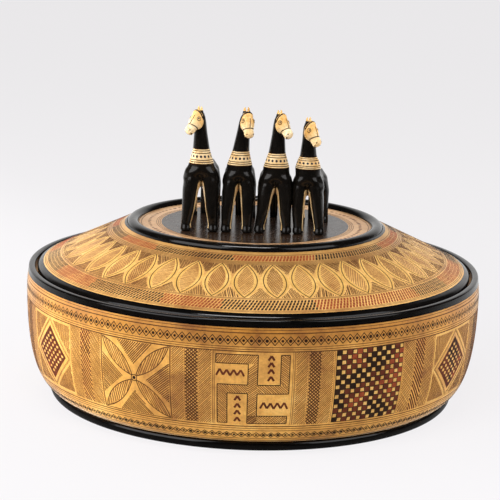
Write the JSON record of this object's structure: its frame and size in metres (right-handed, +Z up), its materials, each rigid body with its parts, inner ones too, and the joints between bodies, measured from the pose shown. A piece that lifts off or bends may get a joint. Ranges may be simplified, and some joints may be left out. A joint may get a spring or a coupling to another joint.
{
  "type": "lidded pyxis",
  "caption": "Wide low lidded pyxis in painted fired clay on a ring foot, with a sloping lift-off lid whose handle is a row of small clay horses on a dished disc.",
  "frame": {"origin": "centre of the circle that the ring foot rests on", "axes": "+Z up along the wheel axis of the bowl and lid, -Y towards the horses' heads, +X to the right seen from the front"},
  "size_m": [0.3, 0.3, 0.1944],
  "materials": {
    "painted_clay": "satin ochre clay with brown, maroon and black painted ornament",
    "black_slip": "glossy black slip",
    "cream_slip": "satin cream slip with dark painted lines"
  },
  "bodies": {
    "bowl_body": {"bowl": "painted_clay", "foot_ring": "black_slip"},
    "lid_body": {"lid_shell": "painted_clay", "lid_disc": "cream_slip", "horse_1_neck": "black_slip", "horse_1_mane": "black_slip", "horse_1_head": "cream_slip", "horse_1_ear_left": "cream_slip", "horse_1_ear_right": "cream_slip", "horse_1_barrel": "black_slip", "horse_1_foreleg_left": "black_slip", "horse_1_foreleg_right": "black_slip", "horse_1_hindleg_left": "black_slip", "horse_1_hindleg_right": "black_slip", "horse_1_tail": "black_slip", "horse_2_neck": "black_slip", "horse_2_mane": "black_slip", "horse_2_head": "cream_slip", "horse_2_ear_left": "cream_slip", "horse_2_ear_right": "cream_slip", "horse_2_barrel": "black_slip", "horse_2_foreleg_left": "black_slip", "horse_2_foreleg_right": "black_slip", "horse_2_hindleg_left": "black_slip", "horse_2_hindleg_right": "black_slip", "horse_2_tail": "black_slip", "horse_3_neck": "black_slip", "horse_3_mane": "black_slip", "horse_3_head": "cream_slip", "horse_3_ear_left": "cream_slip", "horse_3_ear_right": "cream_slip", "horse_3_barrel": "black_slip", "horse_3_foreleg_left": "black_slip", "horse_3_foreleg_right": "black_slip", "horse_3_hindleg_left": "black_slip", "horse_3_hindleg_right": "black_slip", "horse_3_tail": "black_slip", "horse_4_neck": "black_slip", "horse_4_mane": "black_slip", "horse_4_head": "cream_slip", "horse_4_ear_left": "cream_slip", "horse_4_ear_right": "cream_slip", "horse_4_barrel": "black_slip", "horse_4_foreleg_left": "black_slip", "horse_4_foreleg_right": "black_slip", "horse_4_hindleg_left": "black_slip", "horse_4_hindleg_right": "black_slip", "horse_4_tail": "black_slip"}
  },
  "joints": [
    {"name": "lid_lift", "type": "slide", "parent": "bowl_body", "child": "lid_body", "axis": [0, 0, 1], "range_m": [0, 0.1]}
  ]
}
